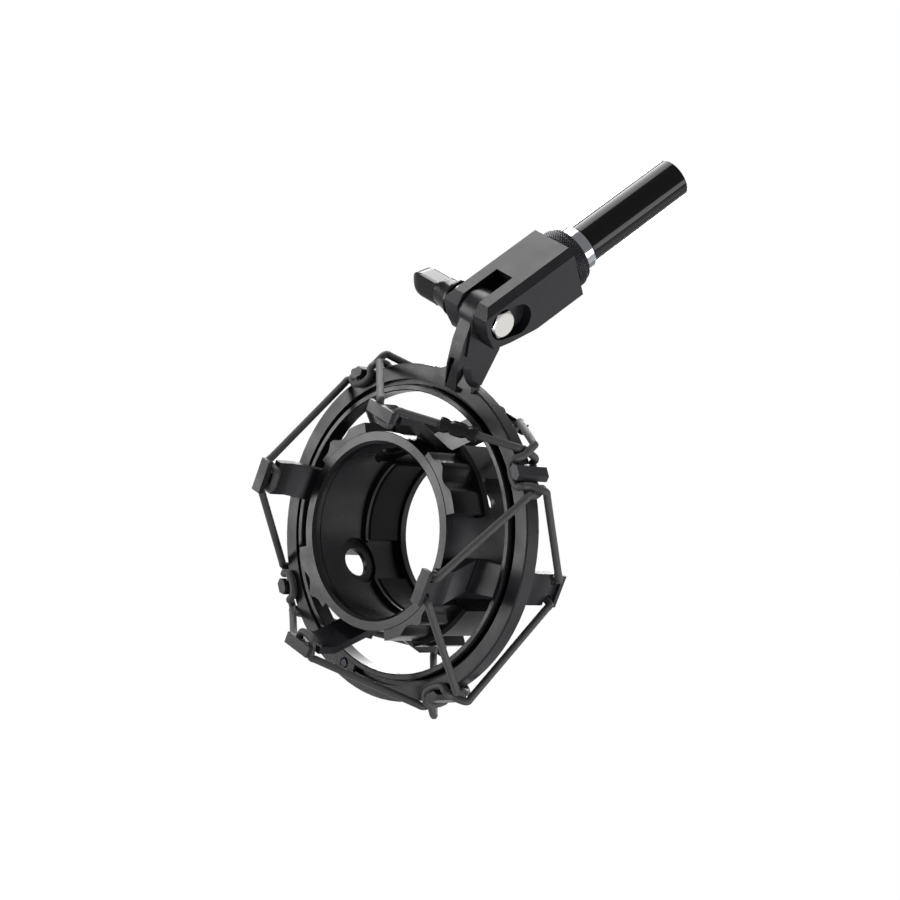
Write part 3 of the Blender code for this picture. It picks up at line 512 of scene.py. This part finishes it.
def peg_marks(end):
    """From the rim's near edge over it and round a peg's far end; the rear cord passes above."""
    if end < 0:
        return [(LIFT - 0.1, BESIDE + 3.3, 3.2),
                (LIFT - 0.3, BESIDE + 3.0, 0.2),
                (LIFT - 0.4, BESIDE + 1.4, -2.7),
                (LIFT - 1.0, BESIDE + 0.5, -HOOK_Y),
                (HOOK_R + 0.6, BESIDE - 0.5, -HOOK_Y - 0.1),
                (HOOK_R - 0.1, 1.4, -HOOK_Y)]
    return [(LIFT + 2.85, BESIDE + 3.3, 1.0),
            (LIFT + 2.72, BESIDE + 2.7, 0.1),
            (LIFT + 0.45, BESIDE + 0.6, -2.5),
            (LIFT - 0.9, BESIDE + 0.2, 0.1 - HOOK_Y),
            (HOOK_R + 0.7, BESIDE - 0.5, -HOOK_Y - 0.1),
            (HOOK_R - 0.1, 1.4, -HOOK_Y)]


def taut_span(a, b):
    """Four points on the straight line from a to b: 1.6 and 5 mm in from each end."""
    way = (b - a) / np.linalg.norm(b - a)
    return np.stack([a + 1.6 * way, a + 5 * way, b - 5 * way, b - 1.6 * way])


def cord_route(end):
    """The loop's points in metres: four arms and four pegs in turn; end is -1 front, +1 rear."""
    parts = []
    for k in range(4):
        arm, peg = 90 * k, 90 * k + 45
        parts += [polar_points(arm_marks(), arm, -1, end)[::-1],
                  polar_points(arm_marks(), arm, 1, end),
                  polar_points(peg_marks(end), peg, -1, end),
                  polar_points(peg_marks(end), peg, 1, end)[::-1]]
    route = []
    for k, part in enumerate(parts):
        route.append(part)
        if k % 2:
            route.append(taut_span(part[-1], parts[(k + 1) % len(parts)][0]))
    return np.vstack(route) * MM + np.array(CENTRE)


print("route points on each cord", len(cord_route(-1)), len(cord_route(1)))

# %% [markdown]
# ## Elastic cords: the curve
# A smooth curve through unevenly spaced points can loop or overshoot. The centripetal kind of
# Catmull-Rom curve spaces its knots by the square root of each chord and doesn't. A tube also
# needs two directions across the path that don't spin, so they are carried from point to point.

# %% Smooth closed path
CORD_STEP_MM, FINE_STEPS = 0.32, 40      # rows of the cord's mesh, and curve points per chord


def smooth_loop(points, step):
    """Closed centripetal Catmull-Rom curve, then points at even steps along its length."""
    p0, p1, p2, p3 = (np.roll(points, s, axis=0)[:, None] for s in (1, 0, -1, -2))
    gap = [np.sqrt(np.linalg.norm(b - a, axis=-1, keepdims=True))
           for a, b in ((p0, p1), (p1, p2), (p2, p3))]
    t1, t2, t3 = gap[0], gap[0] + gap[1], gap[0] + gap[1] + gap[2]
    t = t1 + (t2 - t1) * np.linspace(0, 1, FINE_STEPS, endpoint=False)[None, :, None]
    a1 = (t1 - t) / t1 * p0 + t / t1 * p1
    a2 = (t2 - t) / (t2 - t1) * p1 + (t - t1) / (t2 - t1) * p2
    a3 = (t3 - t) / (t3 - t2) * p2 + (t - t2) / (t3 - t2) * p3
    b1 = (t2 - t) / t2 * a1 + t / t2 * a2
    b2 = (t3 - t) / (t3 - t1) * a2 + (t - t1) / (t3 - t1) * a3
    fine = ((t2 - t) / (t2 - t1) * b1 + (t - t1) / (t2 - t1) * b2).reshape(-1, 3)
    shut = np.vstack([fine, fine[:1]])
    run = np.concatenate([[0], np.cumsum(np.linalg.norm(np.diff(shut, axis=0), axis=1))])
    at = np.linspace(0, run[-1], int(run[-1] / step), endpoint=False)
    return np.stack([np.interp(at, run, shut[:, k]) for k in range(3)], -1), run[-1]


def steady_frames(path):
    """Two directions across the path, carried along without twist; the last gap is spread out."""
    along = np.roll(path, -1, axis=0) - np.roll(path, 1, axis=0)
    along /= np.linalg.norm(along, axis=1, keepdims=True)
    across = np.empty_like(path)
    start = np.cross(along[0], (0, 1, 0))
    across[0] = start / np.linalg.norm(start)
    for k in range(1, len(path) + 1):
        here = along[k % len(path)]
        moved = across[k - 1] - here * (across[k - 1] @ here)
        moved /= np.linalg.norm(moved)
        if k < len(path):
            across[k] = moved
    other = np.cross(along, across)
    miss = np.arctan2(moved @ other[0], moved @ across[0])
    turn = -miss * np.arange(len(path)) / len(path)
    c, s = np.cos(turn)[:, None], np.sin(turn)[:, None]
    return across * c + other * s, other * c - across * s


ROUTES = {name: smooth_loop(cord_route(end), CORD_STEP_MM * MM)
          for name, end in (("cord_front", -1), ("cord_rear", 1))}
print({name: "%.0f mm round" % (run / MM) for name, (path, run) in ROUTES.items()})

# %% [markdown]
# ## Elastic cords: the braid
# The sheath is a braid: sixteen bundles of polyester, half running each way round the core. Its
# relief is real here, about five hundredths of a millimetre, because it breaks up the highlight
# along the cord. The number of turns is rounded so that the pattern meets itself where the loop
# closes.

# %% Cords
STRANDS, CORD_SIDES = 8, 30               # strands each way, and columns of the mesh
BRAID_PITCH = 7.5                         # one turn of a strand, mm
BRAID_LOW, BRAID_RISE = 0.985, 0.03       # shares of the cord's radius


def braid_material():
    """Polyester yarn: near black, with painted shade between the strands and a faint fuzz at the
    edges.
    """
    mat, tree, shader = new_material("polyester sheath, braided")
    # the weave's height, 0 in the valleys and 1 on the crests, masks the painted shade between the
    # strands
    painted_weave_shade = add_node(tree, "ShaderNodeAttribute", attribute_name="painted_weave_shade").outputs["Fac"]
    place = add_node(tree, "ShaderNodeTexCoord").outputs["Object"]
    fuzz = add_node(tree, "ShaderNodeTexNoise",
                    {"Vector": place, "Scale": 1 / (0.25 * MM), "Detail": 2.0})
    level = add_node(tree, "ShaderNodeMath", {0: painted_weave_shade, 1: fuzz.outputs[0]},
                     operation="MULTIPLY")
    # painted shade: near black in the valleys, the yarn's grey on the crests, broken by the fuzz
    tone = add_node(tree, "ShaderNodeMix",
                    {"Factor": level.outputs[0], "A": linear("#050506"), "B": linear("#19191b")},
                    data_type="RGBA")
    bump = add_node(tree, "ShaderNodeBump",
                    {"Height": fuzz.outputs[0], "Strength": 0.5, "Distance": 0.06 * MM})
    tree.links.new(tone.outputs["Result"], shader.inputs["Base Color"])
    tree.links.new(bump.outputs[0], shader.inputs["Normal"])
    shader.inputs["Roughness"].default_value = 0.68
    shader.inputs["Sheen Weight"].default_value = 0.06
    shader.inputs["Sheen Roughness"].default_value = 0.4
    return mat


def build_cord(name):
    """A circle carried round the route; two sets of helices raise and lower it a few per cent."""
    path, run = ROUTES[name]
    across, other = steady_frames(path)
    turns = round(run / MM / BRAID_PITCH)
    angle = np.linspace(0, 2 * pi, CORD_SIDES, endpoint=False)[None]
    along = np.linspace(0, 2 * pi * turns, len(path), endpoint=False)[:, None]
    weave = np.maximum(np.cos(STRANDS / 2 * (angle * 2 - along)),
                       np.cos(STRANDS / 2 * (angle * 2 + along)))
    radius = CORD_R * MM * (BRAID_LOW + BRAID_RISE * weave)
    points = path[:, None] + radius[..., None] * (np.cos(angle)[..., None] * across[:, None]
                                                  + np.sin(angle)[..., None] * other[:, None])
    # the weave's height also goes onto the points as the mask of the braid's painted shade
    return grid_piece(name + "_braid", points, ring=True, attribute=0.5 + 0.5 * weave)


def float_with_cradle(ob):
    """Bake the placement into the mesh; the piece is tied to neither the ring nor the cradle."""
    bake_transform(ob)


BRAID = braid_material()
for name, end in (("cord_front", -1), ("cord_rear", 1)):
    cord = build_cord(name)
    place_piece(cord, name, BRAID)
    float_with_cradle(cord)
    print(cord.name, len(cord.data.polygons), "faces")

# %% [markdown]
# ## Ferrules
# Each loop is closed by a moulded sleeve crimped on the two ends of the cord, part way along one
# free span. Two shallow crimps pinch it, deeper on opposite sides.

# %% Ferrules
FERRULE_R, FERRULE_LENGTH, FERRULE_BORE = 2.3, 11.5, CORD_R + 0.12
CRIMP_AT, CRIMP_WIDTH = 2.7, 0.75         # from the middle, and the spread of the bell curve
CRIMP_DEEP, CRIMP_OVAL = 0.34, 0.16       # how deep all round, and how much more on two sides
END_ROUND, MOUTH_ROUND = 0.12, 0.3        # lengths of the eased outer and inner ends


def span_middle(end, angle, flank):
    """Middle and direction of the free span from an arm towards the peg beside it."""
    start = polar_points(arm_marks(), angle, flank, end)[-1]
    stop = polar_points(peg_marks(end), angle + 45 * flank, -flank, end)[0]
    along = (stop - start) / np.linalg.norm(stop - start)
    return (start + stop) / 2 * MM + np.array(CENTRE), along


def build_ferrule(name, end, angle, flank):
    """A tube dipping at two crimps by a bell curve; its rows run out, over the end, back inside."""
    middle, along = span_middle(end, angle, flank)
    across = np.cross(along, (0, 1, 0))
    across /= np.linalg.norm(across)
    other = np.cross(along, across)
    half = FERRULE_LENGTH / 2
    s = np.linspace(-half + 0.35, half - 0.35, 61)
    turn = np.linspace(0, 2 * pi, 48, endpoint=False)[None]
    bell = np.exp(-((np.abs(s) - CRIMP_AT) / CRIMP_WIDTH) ** 2)[:, None]
    outer = FERRULE_R - bell * (CRIMP_DEEP + CRIMP_OVAL * np.cos(2 * turn))
    heights = np.concatenate([[-half, -half + END_ROUND], s, [half - END_ROUND, half],
                              [half, half - MOUTH_ROUND], [-half + MOUTH_ROUND, -half]])
    first, last = outer[:1], outer[-1:]
    mouth = FERRULE_BORE + 0.25
    inner = [np.full_like(first, r) for r in (mouth, FERRULE_BORE, FERRULE_BORE, mouth)]
    radius = np.vstack([first - 0.35, first - 0.1, outer, last - 0.1, last - 0.35] + inner)
    points = middle + MM * (heights[:, None, None] * along + radius[..., None] * (
        np.cos(turn)[..., None] * across + np.sin(turn)[..., None] * other))
    ob = sharpen(grid_piece(name + "_crimped", points, ring=True), 50)
    place_piece(ob, name, ABS)
    float_with_cradle(ob)


build_ferrule("ferrule_front", -1, 90, -1)
build_ferrule("ferrule_rear", 1, 270, -1)
print("ferrules", FERRULE_LENGTH, "mm long")

# %% [markdown]
# ## Wing lever
# The clamp lever is one nylon moulding over a captive nut. A flange bears on the washer, a cone
# runs out of it, and the cone ends in a flat-topped bar for the thumb. Solids joined to each other
# would leave hard seams. Here the section itself changes along the bolt's axis, from a circle to a
# bar with small edge radii, and one flat plane trims the top of cone and bar alike. The hexagonal
# pocket for the nut is the first few rows of the same sheet.

# %% Bolt frame
TILT = radians(41.2)                                 # the boom's rise above the level
ACROSS = np.array((1.0, 0, 0))                       # along the bolt
TUBE_WAY = np.array((0, cos(TILT), sin(TILT)))       # out along the boom
TUBE_SIDE = np.array((0, -sin(TILT), cos(TILT)))
PIVOT = np.array(CENTRE) + np.array((0, -1.9, 72.6)) * MM
COLUMNS = 96                                         # round the lever and the bolt


def ease(x, low, high):
    """Smooth step: t = (x - low) / (high - low) held to 0..1, then 3 t^2 - 2 t^3."""
    t = np.clip((x - low) / (high - low), 0, 1)
    return t * t * (3 - 2 * t)


def hexagon_reach(angle, corner_r):
    """Distance from the middle to a hexagon's side: apothem / cos(angle from the flat's middle)."""
    from_flat = np.mod(angle, pi / 3) - pi / 6
    return corner_r * cos(pi / 6) / np.cos(from_flat)


def bar_reach(angle, up, down, thick, power):
    """Superellipse with unlike top and bottom: (|cos a / height|^n + |sin a / thick|^n)^(-1/n)."""
    height = np.where(np.cos(angle) > 0, up, down)
    return (np.abs(np.cos(angle) / height) ** power
            + np.abs(np.sin(angle) / thick) ** power) ** (-1 / power)


def around(origin, axis, first, second, height, reach, angle):
    """origin + height * axis + reach * (cos(angle) first + sin(angle) second), heights in mm."""
    out = np.cos(angle)[..., None] * first + np.sin(angle)[..., None] * second
    return origin + MM * (height[..., None] * axis + reach[..., None] * out)


print("pivot", [round(float(c), 4) for c in PIVOT])

# %% [markdown]
# Every length of the lever counts from the face that bears on the washer, out along the bolt.
# Two distances from the axis are worked out for each point, one to the section's own outline and
# one to the flat trim plane. The smaller wins, and a high power mean of the two rounds the edge
# where they meet.

# %% Wing lever
WING_TURN = radians(114.6)                           # which way the flat top faces
HUB_FACE, HUB_R = -10.9, 5.8                         # the bearing face along X, the flange
NUT_POCKET_R, POCKET_DEEP = 4.5, 4.9                 # corner radius and depth
CONE_R, CONE_TAPER, CONE_FROM, CONE_RUN = 5.35, 0.16, 1.5, 5.2
BAR_THICK, BAR_DOWN, BAR_UP = 2.85, 4.7, 5.0         # half thickness, and heights each way
FLAT_TOP, CONE_TOP, FLANGE_TOP = 3.5, 1.5, 4         # the trim plane, and its rise at cone, flange
TIP_START, TIP_LENGTH, TIP_POWER = 14.2, 5, 2.3
TIP_LEAST = 0.02                                     # the last row never shrinks to nothing
EDGE_POWER = 18                                      # higher is sharper


def build_wing_lever():
    """Rows: nut pocket, flange, cone, bar, tip. reach = (outline^-k + trim^-k)^(-1/k)."""
    run = np.concatenate([
        [0, 0.12, 0.35], np.linspace(0.8, 1.9, 8), np.linspace(2.2, 6.2, 9),
        np.linspace(6.4, 8.4, 18), np.linspace(8.8, TIP_START, 8),
        TIP_START + TIP_LENGTH * np.sin(np.linspace(0.06, pi / 2, 20))])[:, None]
    angle = np.linspace(0, 2 * pi, COLUMNS, endpoint=False)[None]
    flange = 1 - ease(run, 1.1, 1.6)
    bar = ease(run, 6.6, 7.7)
    edge = np.interp(run, (0, 0.12, 0.35), (0.3, 0.09, 0.0))
    cone = CONE_R - CONE_TAPER * np.clip(run - CONE_FROM, 0, CONE_RUN)
    disc = cone + (HUB_R - cone) * flange
    tip = np.clip((run - TIP_START) / TIP_LENGTH, 0, 1)
    close = (1 - tip ** TIP_POWER) ** (1 / TIP_POWER)
    thick = np.where(flange > 0, disc, cone + (BAR_THICK - cone) * bar) * (1 - 0.3 * tip ** 4)
    down = np.where(flange > 0, disc, cone + (BAR_DOWN - cone) * bar) * close + TIP_LEAST
    up = np.maximum(down, BAR_UP * close + TIP_LEAST)
    outline = bar_reach(angle, up, down, thick, 2 + 4 * bar) - edge
    rise = CONE_TOP * (1 - ease(run, 4.9, 7.6)) + FLANGE_TOP * flange
    trim = ((FLAT_TOP + rise) * close + TIP_LEAST) / np.maximum(np.cos(angle), 0.05)
    body = (outline ** -EDGE_POWER + trim ** -EDGE_POWER) ** (-1 / EDGE_POWER)
    pocket = np.repeat(hexagon_reach(angle + WING_TURN - TILT, NUT_POCKET_R), 2, axis=0)
    reach = np.vstack([pocket, body])
    height = HUB_FACE - np.concatenate([[POCKET_DEEP, 0], run[:, 0]])[:, None] * np.ones_like(angle)
    first = cos(WING_TURN) * np.array((0, 1, 0)) + sin(WING_TURN) * np.array((0, 0, 1))
    second = np.cross(ACROSS, first)
    points = around(PIVOT, ACROSS, first, second, height, reach, angle * np.ones_like(height))
    return sharpen(grid_piece("wing_lever_moulding", points), 42)


lever = place_piece(build_wing_lever(), "wing_lever", SMOOTH_NYLON)
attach(lever, "lever")
print(lever.name, len(lever.data.polygons), "faces")

# %% [markdown]
# ## Pivot bolt
# A cold-headed hexagon bolt has its corners taken off by a cone of 30 degrees, which is why the
# top of a real head is a disc with six small arcs below it. The head's side is the hexagon or the
# cone, whichever is nearer the axis, and that one minimum draws the arcs exactly.

# %% Pivot bolt
HEAD_UNDER, HEAD_TOP = 6.3, 9.8                      # the head's two faces along X, mm
HEAD_CORNER_R, HEAD_TURN = 4.62, radians(44)
DISC_R, WASHER_FACE_R, WASHER_FACE = 3.72, 3.7, 0.12
BOLT_END, BOLT_R = -15.3, 2.5
TAN_30 = 0.577


def build_bolt():
    """Rows run from the shank's end to the washer face, up the head and in over its top."""
    angle = np.linspace(0, 2 * pi, COLUMNS, endpoint=False)[None]
    side_foot = HEAD_UNDER + WASHER_FACE
    shank = [(BOLT_END, BOLT_R - 0.4), (BOLT_END + 0.4, BOLT_R), (HEAD_UNDER - 0.2, BOLT_R),
             (HEAD_UNDER, BOLT_R + 0.2), (HEAD_UNDER, WASHER_FACE_R),
             (side_foot, WASHER_FACE_R + 0.05)]
    sides = side_foot + np.concatenate([[0], np.linspace(2.5, 3.38, 12)])
    cone = DISC_R + (HEAD_TOP - sides) / TAN_30
    head = np.minimum(hexagon_reach(angle, HEAD_CORNER_R), cone[:, None])
    top = [(HEAD_TOP - 0.01, 3.62), (HEAD_TOP - 0.03, 3.3), (HEAD_TOP - 0.05, 1.5)]
    reach = np.vstack([np.full((1, COLUMNS), r) for x, r in shank] + [head]
                      + [np.full((1, COLUMNS), r) for x, r in top])
    heights = [x for x, r in shank] + list(sides) + [x for x, r in top]
    height = np.array(heights)[:, None] * np.ones_like(angle)
    points = around(PIVOT, ACROSS, TUBE_WAY, TUBE_SIDE, height, reach,
                    (angle + HEAD_TURN) * np.ones_like(height))
    return sharpen(grid_piece("pivot_bolt_headed", points), 22)


bolt = place_piece(build_bolt(), "pivot_bolt", NICKEL)
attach(bolt, body_of_node("pivot_bolt"))
print(bolt.name, len(bolt.data.polygons), "faces")

# %% [markdown]
# ## Knurled lock ring
# The ring that locks the boom's thread is turned from black steel, and its rim and neck are
# rolled with a diamond knurl so that fingers can grip it. A bump map would lose the serrated
# outline, so the diamonds are real: two sets of helical ridges cross, and the lower of the two
# is the height of the metal. The real pitch of 0.6 mm is drawn at 0.9 mm to stay visible.

# %% Lock ring
LOCK_START, LOCK_BORE, LOCK_R, LOCK_NECK_R = 30.8, 8.24, 9.8, 9.0
TUBE_LINE = PIVOT - 2.0 * MM * TUBE_SIDE             # a point on the boom's axis
TEETH, KNURL_PITCH, KNURL_DEEP = 68, 0.9, 0.32


def diamonds(angle, height, pitch):
    """Two triangle waves, teeth * angle / 2 pi plus and minus height / pitch; the lower, 0 to 1."""
    def wave(x):
        return 1 - 2 * np.abs(np.mod(x, 1) - 0.5)
    turn = TEETH * angle / (2 * pi)
    return np.minimum(wave(turn + height / pitch), wave(turn - height / pitch))


def build_lock_ring():
    """A closed profile of (height, radius, share of knurl) swept round the tube's axis."""
    rim = [(h, LOCK_R, 1.0) for h in np.linspace(0.4, 2.8, 17)]
    neck = [(h, LOCK_NECK_R, 1.0) for h in np.linspace(3.45, 4.6, 9)]
    profile = [(0.0, LOCK_BORE, 0), (0.0, LOCK_R - 0.5, 0), (0.12, LOCK_R - 0.25, 0)] + rim
    profile += [(3.05, LOCK_R - 0.25, 0), (3.15, LOCK_R - 0.5, 0), (3.2, LOCK_NECK_R - 0.2, 0)]
    profile += neck
    profile += [(4.85, LOCK_NECK_R - 0.2, 0), (5.0, LOCK_NECK_R - 0.4, 0), (5.0, LOCK_BORE, 0)]
    height, radius, share = np.array(profile).T[:, :, None]
    angle = np.linspace(0, 2 * pi, TEETH * 6, endpoint=False)[None]
    reach = radius - share * KNURL_DEEP * (1 - diamonds(angle, height, KNURL_PITCH))
    height = (LOCK_START + height) * np.ones_like(angle)
    points = around(TUBE_LINE, TUBE_WAY, ACROSS, TUBE_SIDE, height, reach,
                    angle * np.ones_like(height))
    return sharpen(grid_piece("lock_ring_knurled", points, ring=True), 60)


lock = place_piece(build_lock_ring(), "lock_ring", BLACK_STEEL)
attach(lock, body_of_node("lock_ring"))
print(lock.name, len(lock.data.polygons), "faces")
